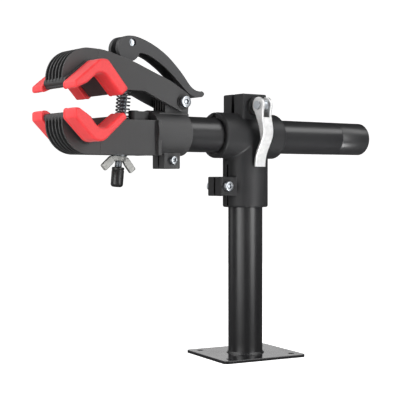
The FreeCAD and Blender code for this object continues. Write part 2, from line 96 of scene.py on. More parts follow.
def noise_node(tree, coord, scale, detail=2.0, rough=0.5):
    node = tree.nodes.new("ShaderNodeTexNoise")
    node.inputs["Scale"].default_value = scale
    node.inputs["Detail"].default_value = detail
    node.inputs["Roughness"].default_value = rough
    link(tree, coord, node.inputs["Vector"])
    return node.outputs["Fac"]


def remap(tree, value, a, b, c, d):
    """Straight line from a..b onto c..d, held at its ends."""
    node = tree.nodes.new("ShaderNodeMapRange")
    node.inputs["From Min"].default_value = a
    node.inputs["From Max"].default_value = b
    node.inputs["To Min"].default_value = c
    node.inputs["To Max"].default_value = d
    link(tree, value, node.inputs["Value"])
    return node.outputs["Result"]


def math_node(tree, op, a, b):
    node = tree.nodes.new("ShaderNodeMath")
    node.operation = op
    for i, v in enumerate((a, b)):
        if isinstance(v, (int, float)):
            node.inputs[i].default_value = v
        else:
            link(tree, v, node.inputs[i])
    return node.outputs[0]


def mix_colour(tree, fac, a, b):
    node = tree.nodes.new("ShaderNodeMix")
    node.data_type = "RGBA"
    link(tree, fac, node.inputs["Factor"])
    for key, v in ((6, a), (7, b)):
        if isinstance(v, (tuple, list)):
            node.inputs[key].default_value = (*v, 1.0)
        else:
            link(tree, v, node.inputs[key])
    return node.outputs[2]


EDGE_SAMPLES = 6
CLOUD_SHARE = 0.65
FINE_PATCHES = 14
# Edge colour: noise scale of its worn patches, and the bevel bend where the lighter edge, part wear and part
# painted highlight, sets in.
WEAR_SCALE = 520.0
EDGE_WEAR_AND_HIGHLIGHT_BEND = (0.995, 0.90)
# Painted shade in hollows: ambient occlusion samples, the occlusion range it fades over, its near-black
# colour and the roughness it adds.
HOLLOW_SHADE_SAMPLES = 6
HOLLOW_SHADE_OPEN = (0.2, 0.6)
HOLLOW_SHADE_COLOUR = (0.004, 0.004, 0.004)
HOLLOW_SHADE_ROUGHER = 0.4
SKIN_DEPTH = 0.002


def surface(name, dark, light, rough, patch, grain, grain_depth, edge_radius, metallic=0.0, edge=None,
            edge_rough=0.0, rough_spread=0.06, specular=0.5, coat=0.0, coat_rough=0.1,
            sheen=0.0, sheen_rough=0.5, subsurface=0.0, shade_in_hollows=0.0):
    """Painted, moulded or bare surface: patchy colour, grain bump, rounded edges, a lighter edge colour that
    is part wear and part painted highlight, and painted shade in hollows.

    patch and grain are noise scales per metre; the depths, edge_radius and the reach of the painted shade in
    hollows are in metres.
    """
    mat = bpy.data.materials.new(name)
    mat.use_nodes = True
    tree = mat.node_tree
    tree.nodes.clear()
    out = tree.nodes.new("ShaderNodeOutputMaterial")
    bsdf = tree.nodes.new("ShaderNodeBsdfPrincipled")
    link(tree, bsdf.outputs["BSDF"], out.inputs["Surface"])
    coord = tree.nodes.new("ShaderNodeTexCoord").outputs["Object"]
    cloud = noise_node(tree, coord, patch, 4.0, 0.55)
    fine = noise_node(tree, coord, patch * FINE_PATCHES, 3.0, 0.6)
    blend = math_node(tree, "ADD", math_node(tree, "MULTIPLY", cloud, CLOUD_SHARE),
                      math_node(tree, "MULTIPLY", fine, 1.0 - CLOUD_SHARE))
    colour = mix_colour(tree, remap(tree, blend, 0.35, 0.65, 0.0, 1.0), dark, light)
    roughness = remap(tree, blend, 0.3, 0.7, rough - rough_spread, rough + rough_spread)
    bevel = tree.nodes.new("ShaderNodeBevel")
    bevel.samples = EDGE_SAMPLES
    bevel.inputs["Radius"].default_value = edge_radius
    normal = bevel.outputs["Normal"]
    # Lighter colour along edges: part real edge wear, part painted highlight; the noise breaks it into
    # patches.
    if edge:
        geo = tree.nodes.new("ShaderNodeNewGeometry")
        dot = tree.nodes.new("ShaderNodeVectorMath")
        dot.operation = "DOT_PRODUCT"
        link(tree, normal, dot.inputs[0])
        link(tree, geo.outputs["Normal"], dot.inputs[1])
        edge_wear_and_highlight = remap(tree, dot.outputs["Value"], *EDGE_WEAR_AND_HIGHLIGHT_BEND, 0.0, 1.0)
        worn = remap(tree, noise_node(tree, coord, WEAR_SCALE, 5.0, 0.7), 0.38, 0.62, 0.25, 1.0)
        edge_wear_and_highlight = math_node(tree, "MULTIPLY", edge_wear_and_highlight, worn)
        colour = mix_colour(tree, edge_wear_and_highlight, colour, edge)
        roughness = math_node(tree, "ADD", roughness, math_node(tree, "MULTIPLY", edge_wear_and_highlight, edge_rough))
    # Painted shade: colour darkened to near-black where ambient occlusion finds gaps, recesses and hollows.
    if shade_in_hollows:
        shade_ao = tree.nodes.new("ShaderNodeAmbientOcclusion")
        shade_ao.samples = HOLLOW_SHADE_SAMPLES
        shade_ao.inputs["Distance"].default_value = shade_in_hollows
        unshaded_share = remap(tree, shade_ao.outputs["AO"], *HOLLOW_SHADE_OPEN, 0.0, 1.0)
        colour = mix_colour(tree, unshaded_share, HOLLOW_SHADE_COLOUR, colour)
        rougher = remap(tree, unshaded_share, 0.0, 1.0, HOLLOW_SHADE_ROUGHER, 0.0)
        roughness = math_node(tree, "ADD", roughness, rougher)
    link(tree, colour, bsdf.inputs["Base Color"])
    link(tree, roughness, bsdf.inputs["Roughness"])
    bump = tree.nodes.new("ShaderNodeBump")
    bump.inputs["Distance"].default_value = grain_depth
    bump.inputs["Strength"].default_value = 1.0
    link(tree, noise_node(tree, coord, grain, 3.0, 0.65), bump.inputs["Height"])
    link(tree, normal, bump.inputs["Normal"])
    link(tree, bump.outputs["Normal"], bsdf.inputs["Normal"])
    bsdf.inputs["Metallic"].default_value = metallic
    bsdf.inputs["Specular IOR Level"].default_value = specular
    bsdf.inputs["Coat Weight"].default_value = coat
    bsdf.inputs["Coat Roughness"].default_value = coat_rough
    bsdf.inputs["Sheen Weight"].default_value = sheen
    bsdf.inputs["Sheen Roughness"].default_value = sheen_rough
    bsdf.inputs["Subsurface Weight"].default_value = subsurface
    bsdf.inputs["Subsurface Scale"].default_value = SKIN_DEPTH
    return mat


# Each edge colour is part edge wear and part painted highlight; shade_in_hollows sets the painted shade in
# hollows.
MATERIALS = {
    "plate_steel": surface(
        "powder_coated_plate", (0.011, 0.011, 0.012), (0.016, 0.016, 0.017), 0.22,
        patch=30, grain=900, grain_depth=0.00002, edge=(0.10, 0.10, 0.105), edge_radius=0.0005,
        coat=0.4, coat_rough=0.08),
    "tube_steel": surface(
        "satin_black_tube", (0.011, 0.011, 0.012), (0.015, 0.015, 0.016), 0.31,
        patch=26, grain=1400, grain_depth=0.000008, edge=(0.09, 0.09, 0.095), edge_radius=0.0004,
        rough_spread=0.03, specular=0.6),
    "head_moulding": surface(
        "moulded_black_head", (0.011, 0.011, 0.012), (0.016, 0.016, 0.017), 0.48,
        patch=34, grain=2100, grain_depth=0.00003, edge=(0.06, 0.06, 0.062), edge_radius=0.0007,
        edge_rough=-0.12, shade_in_hollows=0.007, specular=0.34),
    "jaw_moulding": surface(
        "moulded_grey_jaw", (0.036, 0.036, 0.037), (0.044, 0.044, 0.045), 0.52,
        patch=34, grain=2100, grain_depth=0.00003, edge=(0.17, 0.17, 0.172), edge_radius=0.0005,
        edge_rough=-0.12, shade_in_hollows=0.007),
    "cam_lever_moulding": surface(
        "moulded_lever", (0.036, 0.036, 0.038), (0.044, 0.044, 0.046), 0.52,
        patch=34, grain=2100, grain_depth=0.000025, edge=(0.15, 0.15, 0.152), edge_radius=0.0005,
        edge_rough=-0.12),
    "pad_rubber": surface(
        "red_rubber", (0.83, 0.032, 0.037), (0.95, 0.048, 0.054), 0.50,
        patch=30, grain=1700, grain_depth=0.00003, edge=(0.95, 0.13, 0.135), edge_radius=0.0007,
        sheen=0.2, sheen_rough=0.45, subsurface=0.06),
    "zinc_steel": surface(
        "bright_zinc", (0.38, 0.41, 0.44), (0.56, 0.58, 0.61), 0.36,
        metallic=1.0, patch=260, grain=2600, grain_depth=0.000012, edge=(0.85, 0.85, 0.86),
        edge_radius=0.0003, rough_spread=0.1, shade_in_hollows=0.0025),
    "spring_steel": surface(
        "dark_spring_wire", (0.10, 0.105, 0.115), (0.20, 0.205, 0.22), 0.30,
        metallic=1.0, patch=220, grain=2600, grain_depth=0.000006, edge_radius=0.0001),
    "wing_zinc": surface(
        "cast_wing_nut", (0.40, 0.40, 0.385), (0.56, 0.56, 0.54), 0.58,
        metallic=0.8, patch=420, grain=1500, grain_depth=0.00006, edge=(0.72, 0.72, 0.70),
        edge_radius=0.0005, edge_rough=-0.15),
    "lever_aluminium": surface(
        "cast_bright_lever", (0.62, 0.62, 0.62), (0.78, 0.78, 0.775), 0.42,
        metallic=0.7, patch=240, grain=1800, grain_depth=0.00002, edge=(0.92, 0.92, 0.92),
        edge_radius=0.0005, rough_spread=0.10),
    "black_plastic": surface(
        "black_nylon", (0.011, 0.011, 0.011), (0.017, 0.017, 0.017), 0.42,
        patch=60, grain=2200, grain_depth=0.00002, edge=(0.05, 0.05, 0.05), edge_radius=0.0003),
    "cap_rubber": surface(
        "black_rubber_cap", (0.010, 0.010, 0.010), (0.016, 0.016, 0.016), 0.36,
        patch=120, grain=2200, grain_depth=0.00002, edge_radius=0.0003),
    "cap_moulding": surface(
        "satin_end_cap", (0.013, 0.013, 0.014), (0.019, 0.019, 0.020), 0.33,
        patch=40, grain=2200, grain_depth=0.000012, edge=(0.07, 0.07, 0.07), edge_radius=0.0005,
        rough_spread=0.03),
}


def finish_as(obj, slot):
    obj.data.materials.clear()
    obj.data.materials.append(MATERIALS[slot])


SLOT_OF = {row["node"]: row["material_slot"] for row in frame["record"]["subparts"]}
for name, obj in nodes.items():
    finish_as(obj, SLOT_OF[name])

# ---------------------------------------------------------------- mesh builders

WELD_DISTANCE = 1e-7


def new_piece(name, bm, node, smooth, matrix=HEAD, rides=True):
    """Finished mesh object that stands for one CAD node, riding on its body unless rides is false.

    Edges sharper than smooth degrees stay sharp.
    """
    bmesh.ops.remove_doubles(bm, verts=bm.verts, dist=WELD_DISTANCE)
    bmesh.ops.recalc_face_normals(bm, faces=bm.faces)
    mesh = bpy.data.meshes.new(name)
    bm.to_mesh(mesh)
    bm.free()
    mesh.transform(matrix)
    obj = bpy.data.objects.new(name, mesh)
    bpy.context.scene.collection.objects.link(obj)
    mesh.shade_smooth()
    mesh.set_sharp_from_angle(angle=math.radians(smooth))
    return adopt(obj, node, rides)


def adopt(obj, node, rides=True):
    """Puts obj in the place of a CAD node, with that node's material slot and body."""
    finish_as(obj, SLOT_OF[node])
    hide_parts(node)
    if rides:
        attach(obj, nodes[node]["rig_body"])
    return obj


CORNER_STEPS = 12
MIN_CORNER_R = 0.3


def rounded_outline(corners, step):
    """Even points (x, z), in metres, round a closed outline of (x, z, radius) corners in millimetres."""
    fine = []
    n = len(corners)
    for i in range(n):
        p = Vector(corners[i][:2])
        a = (Vector(corners[i - 1][:2]) - p).normalized()
        b = (Vector(corners[(i + 1) % n][:2]) - p).normalized()
        r = max(corners[i][2], MIN_CORNER_R)
        half = a.angle(b) / 2
        centre = p + (a + b).normalized() * (r / math.sin(half))
        start = p + a * (r / math.tan(half)) - centre
        stop = p + b * (r / math.tan(half)) - centre
        for k in range(CORNER_STEPS + 1):
            t = k / CORNER_STEPS
            fine.append(centre + (start * (1 - t) + stop * t).normalized() * r)
    fine.append(fine[0].copy())
    lengths = [0.0]
    for i in range(1, len(fine)):
        lengths.append(lengths[-1] + (fine[i] - fine[i - 1]).length)
    count = max(8, round(lengths[-1] / step))
    points = []
    j = 0
    for k in range(count):
        s = lengths[-1] * k / count
        while lengths[j + 1] < s:
            j += 1
        t = (s - lengths[j]) / max(1e-9, lengths[j + 1] - lengths[j])
        points.append((fine[j] * (1 - t) + fine[j + 1] * t) * MM)
    return points


def outward(points):
    """Unit normals of a closed outline, pointing out of it."""
    n = len(points)
    area = sum(points[i - 1].x * points[i].y - points[i].x * points[i - 1].y for i in range(n))
    side = 1 if area > 0 else -1
    normals = []
    for i in range(n):
        d = (points[(i + 1) % n] - points[i - 1]).normalized()
        normals.append(Vector((d.y, -d.x)) * side)
    return normals


def loft(bm, rings, close_ends=True):
    """Skin over equal closed rings of points. Returns the rings' vertices."""
    rows = [[bm.verts.new(p) for p in ring] for ring in rings]
    n = len(rows[0])
    for a, b in zip(rows, rows[1:]):
        for i in range(n):
            bm.faces.new((a[i], a[(i + 1) % n], b[(i + 1) % n], b[i]))
    if close_ends:
        for row in (rows[0], rows[-1]):
            centre = bm.verts.new(sum((v.co for v in row), Vector()) / n)
            for i in range(n):
                bm.faces.new((row[i], row[(i + 1) % n], centre))
    return rows


def axis_matrix(origin, axis, side):
    """Matrix whose local Z runs along axis from origin, with local X towards side."""
    z = Vector(axis).normalized()
    y = z.cross(Vector(side)).normalized()
    x = y.cross(z)
    m = Matrix((x, y, z)).transposed().to_4x4()
    m.translation = Vector(origin)
    return m


def spin(bm, matrix, profile, segments, close_ends=True):
    """Turned shape: profile is (position along the axis, radius) in mm, and a radius may vary with angle."""
    rings = []
    for s, r in profile:
        ring = []
        for i in range(segments):
            t = 2 * math.pi * i / segments
            radius = r(t) if callable(r) else r
            ring.append(matrix @ Vector((radius * math.cos(t) * MM, radius * math.sin(t) * MM, s * MM)))
        rings.append(ring)
    loft(bm, rings, close_ends)


def hex_radius(across, turn):
    """Radius of a hexagon, across its flats, as a function of the angle."""
    def radius(t):
        a = (t - turn + math.pi / 6) % (math.pi / 3) - math.pi / 6
        return across / 2 / math.cos(a)
    return radius


THREAD_STEPS = 6
THREAD_DEPTH = 0.55
LEAD_IN = 0.8


def thread_profile(start, stop, major, pitch):
    """Profile of a screw thread with a chamfered tip at stop."""
    rows = []
    steps = round((stop - start) / (pitch / THREAD_STEPS))
    depth = THREAD_DEPTH * pitch
    for k in range(steps + 1):
        s = start + (stop - start) * k / steps
        taper = max(0.0, 1 - (stop - s) / LEAD_IN) * depth * 1.1

        def radius(t, s=s, taper=taper):
            f = (s / pitch - t / (2 * math.pi)) % 1.0
            groove = min(1.0, max(0.0, 2.4 * abs(f - 0.5) - 0.1))
            return major - max(depth * (1 - groove), taper)
        rows.append((s, radius))
    return rows


NUT_CHAMFER = 0.55
NUT_TURN = 0.2
COUNTERSINK = 0.5


def chamfered_hex(z0, z1, across, bore):
    """Profile of a nut: hexagon with its corners turned down, and a countersunk bore."""
    corner = across / math.sqrt(3)
    flat = hex_radius(across, NUT_TURN)

    def clipped(limit):
        return lambda t: min(flat(t), limit)
    low = corner - NUT_CHAMFER * 1.6
    near = 0.2 * NUT_CHAMFER
    eased = clipped(low + 0.32 * NUT_CHAMFER)
    full = clipped(corner)
    return [(z0 + COUNTERSINK, bore), (z0, bore + COUNTERSINK), (z0, low), (z0 + near, eased),
            (z0 + NUT_CHAMFER, full), (z1 - NUT_CHAMFER, full),
            (z1 - near, eased), (z1, low), (z1, bore + COUNTERSINK), (z1 - COUNTERSINK, bore)]


def tube_spin(bm, matrix, profile, segments=96):
    """Turned shape with a bore: the profile runs from one end of the bore round the outside to the other."""
    spin(bm, matrix, profile + [profile[0]], segments, close_ends=False)


# ---------------------------------------------------------------- fasteners

HEAD_HEIGHT = {"pivot_bolt": 5.0, "sleeve_screw": 5.0, "post_clamp_screw": 5.5}
SOCKET_ACROSS = {"pivot_bolt": 5.0, "sleeve_screw": 3.8, "post_clamp_screw": 4.6}
SOCKET_TURN = 0.35
KNURL_TEETH = 32
KNURL_DEPTH = 0.16
THREADED_LENGTH = 8.8


def cap_screw(name, node, shank_r, pitch):
    """Knurled socket head screw along the head's Y, its head on the -Y side."""
    low, high = head_box(node)
    centre = (low + high) / 2
    m = axis_matrix((centre.x, low.y, centre.z), (0, 1, 0), (1, 0, 0))
    head_r = (high.z - low.z) / 2 / MM
    length = (high.y - low.y) / MM
    head_h = HEAD_HEIGHT[node]
    socket = hex_radius(SOCKET_ACROSS[node], SOCKET_TURN)

    def knurl(t):
        return head_r - KNURL_DEPTH * (0.5 + 0.5 * math.cos(t * KNURL_TEETH))
    bm = bmesh.new()
    rings = [(head_h * 0.62, lambda t: 0.35), (head_h * 0.5, socket), (0.35, socket),
             (0.0, lambda t: socket(t) + 0.3), (0.0, head_r - 1.0), (0.12, head_r - 0.55),
             (0.5, head_r - 0.18), (0.8, knurl), (head_h - 0.7, knurl), (head_h - 0.4, head_r - 0.2),
             (head_h, head_r - 0.25), (head_h, shank_r), (length - THREADED_LENGTH - 0.2, shank_r)]
    rings += thread_profile(length - THREADED_LENGTH, length, shank_r, pitch)
    spin(bm, m, rings, KNURL_TEETH * 4)
    new_piece(name, bm, node, smooth=32)


cap_screw("pivot_cap_screw", "pivot_bolt", 4.0, 1.25)
cap_screw("sleeve_cap_screw", "sleeve_screw", 2.5, 0.8)
cap_screw("post_cap_screw", "post_clamp_screw", 3.0, 1.0)


def hex_nut(name, node, across, bore):
    """Hexagon nut along the head's Y."""
    low, high = head_box(node)
    centre = (low + high) / 2
    m = axis_matrix((centre.x, low.y, centre.z), (0, 1, 0), (1, 0, 0))
    bm = bmesh.new()
    tube_spin(bm, m, chamfered_hex(0.0, (high.y - low.y) / MM, across, bore))
    new_piece(name, bm, node, smooth=28)


hex_nut("pivot_hex_nut", "pivot_nut", 13.0, 4.0)
hex_nut("sleeve_hex_nut", "sleeve_nut", 8.0, 2.5)
hex_nut("post_hex_nut", "post_clamp_nut", 10.0, 3.0)


WASHER_THICK = {"pivot_washers": 1.5, "qr_washer": 1.6}
WASHER_EDGE = 0.3


def washer_profile(z0, z1, outer, bore):
    e = WASHER_EDGE
    return [(z0, bore), (z0, outer - e), (z0 + e, outer), (z1 - e, outer), (z1, outer - e), (z1, bore)]


def washer_set(name, node, bore):
    """Washers along the head's Y: one at the box's low end when the box is thin, else one at each end."""
    low, high = head_box(node)
    outer = (high.z - low.z) / 2 / MM
    centre = (low + high) / 2
    thick = WASHER_THICK[node]
    starts = [low.y] if high.y - low.y < 2 * thick * MM else [low.y, high.y - thick * MM]
    bm = bmesh.new()
    for y in starts:
        m = axis_matrix((centre.x, y, centre.z), (0, 1, 0), (1, 0, 0))
        tube_spin(bm, m, washer_profile(0.0, thick, outer, bore), 64)
    new_piece(name, bm, node, smooth=28)


washer_set("pivot_flat_washers", "pivot_washers", 4.0)
washer_set("skewer_flat_washer", "qr_washer", 3.0)

# ---------------------------------------------------------------- clamp rod

ROD_TOP = TO_HEAD @ Vector(joints["rod_swing"]["pos_m"])
ROD_DOWN = TO_HEAD.to_3x3() @ Vector(joints["nut_travel"]["axis"])
ROD = axis_matrix(ROD_TOP, ROD_DOWN, (0, 1, 0))
ROD_BORE = 4.05


def along_rod(point):
    """Distance of a head-frame point down the rod from its pin, in mm."""
    return (point - ROD_TOP).dot(ROD_DOWN) / MM


def box_reach(node):
    """Nearest and furthest distance of a node down the rod, in mm."""
    pts = [along_rod(TO_HEAD @ v.co) for v in nodes[node].data.vertices]
    return min(pts), max(pts)


def threaded_rod():
    """Rod with a bored eye at its top, a plain neck and a thread down to its end."""
    top, end = box_reach("clamp_rod")
    eye_r = -top
    half = head_box("clamp_rod")[1].y / MM
    bm = bmesh.new()
    eye = axis_matrix(ROD_TOP, (0, 1, 0), (1, 0, 0))
    tube_spin(bm, eye, [(-half + 0.4, 4.0), (-half, 4.4), (-half, eye_r - 0.6), (-half + 0.6, eye_r),
                        (half - 0.6, eye_r), (half, eye_r - 0.6), (half, 4.4), (half - 0.4, 4.0)], 48)
    shank = [(4.6, 3.3), (6.2, 3.5), (7.6, 3.9), (24.0, 3.9), (24.5, 3.7)]
    spin(bm, ROD, shank + thread_profile(24.6, end, 3.98, 1.25), 32)
    new_piece("threaded_clamp_rod", bm, "clamp_rod", smooth=50)


CAP_ROUND = 3.0
ARC_STEPS = 8


def rubber_end_cap():
    """Rubber cap on the rod: a grooved rim, and a rounded end with a small dimple."""
    top, bottom = box_reach("rod_end_cap")
    low, high = head_box("rod_end_cap")
    r = (high.y - low.y) / 2 / MM
    profile = [(top + 3.0, 3.9), (top + 0.3, 4.1), (top, 4.6), (top, r - 0.7),
               (top + 0.25, r - 0.25), (top + 0.7, r - 0.1), (top + 2.2, r), (top + 2.6, r - 0.3),
               (top + 3.1, r - 0.3), (top + 3.5, r), (bottom - 3.2, r - 0.05)]
    for k in range(1, ARC_STEPS + 1):
        a = math.pi / 2 * k / ARC_STEPS
        profile.append((bottom - CAP_ROUND + CAP_ROUND * math.sin(a) * 0.98,
                        r - 0.05 - CAP_ROUND * (1 - math.cos(a))))
    profile += [(bottom - 0.06, 1.6), (bottom - 0.35, 1.2), (bottom - 0.35, 0.3)]
    bm = bmesh.new()
    spin(bm, ROD, profile, 48)
    new_piece("rubber_rod_end_cap", bm, "rod_end_cap", smooth=50)


def barrel():
    """Turned pin across the cam lever's head, with chamfered ends."""
    low, high = head_box("barrel_pin")
    r = (high.z - low.z) / 2 / MM
    length = (high.y - low.y) / MM
    m = axis_matrix((ROD_TOP.x, low.y, ROD_TOP.z), (0, 1, 0), (1, 0, 0))
    bm = bmesh.new()
    spin(bm, m, [(0.12, 0.3), (0.12, 0.8), (0.0, 1.1), (0.0, r - 0.25), (0.25, r),
                 (length - 0.25, r), (length, r - 0.25), (length, 1.1),
                 (length - 0.12, 0.8), (length - 0.12, 0.3)], 64)
    new_piece("turned_barrel_pin", bm, "barrel_pin", smooth=28)


SEAT_WASHER_R = 8.2


def seat_washer():
    """Washer between the wing nut and the lower jaw."""
    top, bottom = box_reach("nut_washer")
    bm = bmesh.new()
    tube_spin(bm, ROD, washer_profile(top, bottom, SEAT_WASHER_R, ROD_BORE), 64)
    new_piece("wing_nut_washer", bm, "nut_washer", smooth=28)


WING = [(4.6, 0.4, 1.0), (10.4, 0.3, 3.0), (20.8, 11.3, 1.4), (15.0, 16.6, 1.4), (7.9, 9.4, 2.4),
        (4.6, 5.0, 1.0)]
WING_SECTION = [(-1.9, 0.7), (-1.7, 0.2), (-1.2, 0.0), (1.2, 0.0), (1.7, 0.2), (1.9, 0.7)]


def cast_wing_nut():
    """Hub and two wings, melted into one casting.

    WING is one wing's outline as (out from the rod, down it, corner radius), and WING_SECTION
    insets that outline through the wing's thickness.
    """
    top = box_reach("nut_washer")[1]
    bm = bmesh.new()
    tube_spin(bm, ROD, [(top + 0.7, ROD_BORE), (top + 0.1, 4.6), (top + 0.1, 7.3), (top + 0.8, 7.6),
                        (top + 4.6, 6.4), (top + 5.2, 5.8), (top + 5.2, 4.6), (top + 4.7, ROD_BORE)], 48)
    for side in (-1, 1):
        outline = rounded_outline([(side * x, s + top, r) for x, s, r in WING], 0.6)
        normals = outward(outline)
        rings = []
        for y, inset in WING_SECTION:
            ring = []
            for p, n in zip(outline, normals):
                q = p - n * inset * MM
                ring.append(ROD @ Vector((y * MM, q.x, q.y)))
            rings.append(ring)
        loft(bm, rings)
    obj = new_piece("cast_wing_nut", bm, "wing_nut", smooth=80)
    melt(obj, 3)


MELT_VOXEL = 0.0004
MELT_FACTOR = 0.5


def melt(obj, rounds):
    """Fuses overlapping shells into one skin and softens where they meet."""
    remesh = obj.modifiers.new("fuse", "REMESH")
    remesh.mode = "VOXEL"
    remesh.voxel_size = MELT_VOXEL
    remesh.use_smooth_shade = True
    smooth = obj.modifiers.new("soften", "SMOOTH")
    smooth.factor = MELT_FACTOR
    smooth.iterations = rounds
    bake(obj)


def bake(obj):
    """Applies the modifiers of a piece to its mesh."""
    bpy.context.view_layer.update()
    graph = bpy.context.evaluated_depsgraph_get()
    mesh = bpy.data.meshes.new_from_object(obj.evaluated_get(graph))
    obj.modifiers.clear()
    obj.data = mesh


SPRING_WIRE = 0.8
SPRING_TURNS = 9.5
CLOSED_TURNS = 0.9
STEPS_PER_TURN = 40
WIRE_SIDES = 12
END_LIFT = 1.05
CLOSED_PITCH = 2.1


def coil_spring():
    """Compression spring round the rod with closed ends.

    SPRING_WIRE is the wire's radius.
    """
    top, bottom = box_reach("jaw_spring")
    pts = [TO_HEAD @ v.co - ROD_TOP for v in nodes["jaw_spring"].data.vertices]
    outer = max((p - ROD_DOWN * p.dot(ROD_DOWN)).length for p in pts) / MM
    mean = outer - SPRING_WIRE
    steps = int(SPRING_TURNS * STEPS_PER_TURN)
    first = top + END_LIFT * SPRING_WIRE
    last = bottom - END_LIFT * SPRING_WIRE
    closed = CLOSED_PITCH * SPRING_WIRE * CLOSED_TURNS
    inner = SPRING_TURNS - 2 * CLOSED_TURNS
    centres = []
    for k in range(steps + 1):
        turn = SPRING_TURNS * k / steps
        low = min(turn, CLOSED_TURNS) / CLOSED_TURNS
        high = max(0.0, turn - SPRING_TURNS + CLOSED_TURNS) / CLOSED_TURNS
        middle = min(max(0.0, turn - CLOSED_TURNS), inner) / inner
        s = first + closed * (low + high) + (last - first - 2 * closed) * middle
        a = 2 * math.pi * turn
        centres.append(ROD @ Vector((mean * math.cos(a) * MM, mean * math.sin(a) * MM, s * MM)))
    rings = []
    for k in range(steps + 1):
        ahead = (centres[min(k + 1, steps)] - centres[max(k - 1, 0)]).normalized()
        across = ahead.cross(ROD_DOWN).normalized()
        up = across.cross(ahead)
        ring = []
        for i in range(WIRE_SIDES):
            a = 2 * math.pi * i / WIRE_SIDES
            ring.append(centres[k] + (across * math.cos(a) + up * math.sin(a)) * SPRING_WIRE * MM)
        rings.append(ring)
    bm = bmesh.new()
    loft(bm, rings)
    obj = new_piece("jaw_coil_spring", bm, "jaw_spring", smooth=60, rides=False)
    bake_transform(obj)


threaded_rod()
coil_spring()
rubber_end_cap()
barrel()
seat_washer()
cast_wing_nut()

# ---------------------------------------------------------------- soft V covers

LOWER_COVER = [(-241.5, 263.4, 3.0), (-235.5, 263.0, 4.0), (-224.5, 256.2, 15.0), (-211.5, 240.9, 9.0),
               (-186.3, 261.2, 3.0), (-181.8, 254.8, 3.0), (-208.3, 230.9, 11.0), (-218.6, 230.9, 11.0),
               (-241.5, 253.4, 4.0)]
UPPER_COVER = [(-241.5, 279.9, 2.5), (-226.5, 286.6, 14.0), (-211.5, 300.3, 9.0), (-188.8, 275.2, 3.0),
               (-180.6, 283.3, 3.0), (-204.0, 311.1, 7.0), (-213.2, 311.1, 9.0), (-241.5, 287.9, 3.0)]
COVER_RIM = [(0.0, 1.0), (0.0, 0.55), (0.12, 0.25), (0.4, 0.05), (0.9, 0.0), (1.9, 0.0), (2.3, 0.1),
             (2.7, 0.42)]
COVER_BODY = [(3.2, 0.48), (5.0, 0.36), (8.0, 0.2), (12.0, 0.12), (16.0, 0.18)]
COVER_ROUND = 2.6
WOBBLE_SCALE = 130.0
WOBBLE_DEPTH = 0.00018


def soft_cover(name, node, corners):
    """Moulded rubber sleeve: a rim at its inner end, a slightly crowned body and a rounded outer end.

    Each station is (distance from the inner end, inset of the outline), in millimetres.
    """
    low, high = head_box(node)
    outline = rounded_outline(corners, 0.9)
    normals = outward(outline)
    shift = Vector((low.x - min(p.x for p in outline), low.z - min(p.y for p in outline)))
    side = -1 if high.y < 0 else 1
    inner = high.y if side < 0 else low.y
    length = (high.y - low.y) / MM
    stations = COVER_RIM + COVER_BODY + [(length - 3.6, 0.3)]
    for k in range(1, ARC_STEPS + 1):
        a = math.pi / 2 * k / ARC_STEPS
        stations.append((length - COVER_ROUND + COVER_ROUND * math.sin(a), 0.3 + 2.2 * (1 - math.cos(a))))
    stations.append((length - 0.05, 3.0))
    bm = bmesh.new()
    rings = []
    for y, inset in stations:
        ring = []
        for p, n in zip(outline, normals):
            q = p + shift - n * inset * MM
            point = Vector((q.x, inner + side * y * MM, q.y))
            wobble = noise.noise(point * WOBBLE_SCALE) * WOBBLE_DEPTH
            ring.append(point - Vector((n.x, 0, n.y)) * max(0.0, wobble))
        rings.append(ring)
    rows = loft(bm, rings, close_ends=False)
    bm.faces.new(rows[0])
    bm.faces.new(rows[-1])
    bmesh.ops.triangulate(bm, faces=[f for f in bm.faces if len(f.verts) > 4])
    new_piece(name, bm, node, smooth=60)


soft_cover("rubber_cover_lower_front", "lower_pad_front", LOWER_COVER)
soft_cover("rubber_cover_lower_back", "lower_pad_back", LOWER_COVER)
soft_cover("rubber_cover_upper_front", "upper_pad_front", UPPER_COVER)
soft_cover("rubber_cover_upper_back", "upper_pad_back", UPPER_COVER)

# ---------------------------------------------------------------- castings and tube end

def softened_copy(name, node, rounds):
    """The node's own shape with its edges melted round, as a casting's are."""
    mesh = nodes[node].data.copy()
    obj = bpy.data.objects.new(name, mesh)
    bpy.context.scene.collection.objects.link(obj)
    melt(obj, rounds)
    obj.data.shade_smooth()
    adopt(obj, node)


softened_copy("cast_release_lever", "qr_lever", 4)

TUBE_WALL = 2.0
PLUG_ROUND = 2.4
PLUG_GAP = 0.02


def end_cap():
    """Plug in the arm's outer end: a seam against the tube and a dished, rounded end."""
    low, high = head_box("tube_end_cap")
    seam = head_box("arm_tube")[1].x / MM
    end = high.x / MM
    r = (high.z - low.z) / 2 / MM
    inner = low.x / MM
    axis_z = (low.z + high.z) / 2
    m = axis_matrix((0, 0, axis_z), (1, 0, 0), (0, 1, 0))
    wall = r - TUBE_WALL
    profile = [(end - 3.0, 0.5), (end - 3.0, wall - 2.2), (inner + 0.5, wall - 2.2), (inner, wall - 1.7),
               (inner, wall - 0.6), (inner + 1.0, wall - PLUG_GAP), (seam - 0.3, wall - PLUG_GAP),
               (seam + PLUG_GAP, wall - PLUG_GAP), (seam + PLUG_GAP, r - 0.75), (seam + 0.35, r - 0.35),
               (seam + 0.8, r - 0.06)]
    for k in range(ARC_STEPS + 1):
        a = math.pi / 2 * k / ARC_STEPS
        profile.append((end - PLUG_ROUND + PLUG_ROUND * math.sin(a),
                        r - 0.06 - PLUG_ROUND * (1 - math.cos(a))))
    profile += [(end, r - 5.0), (end - 0.15, r - 5.6), (end - 0.6, r - 6.2), (end - 0.7, r - 7.0),
                (end - 0.7, 0.5)]
    bm = bmesh.new()
    spin(bm, m, profile, 96)
    new_piece("moulded_tube_plug", bm, "tube_end_cap", smooth=40)


end_cap()

WELD_SEGMENTS = 240
WELD_PUDDLES = 26


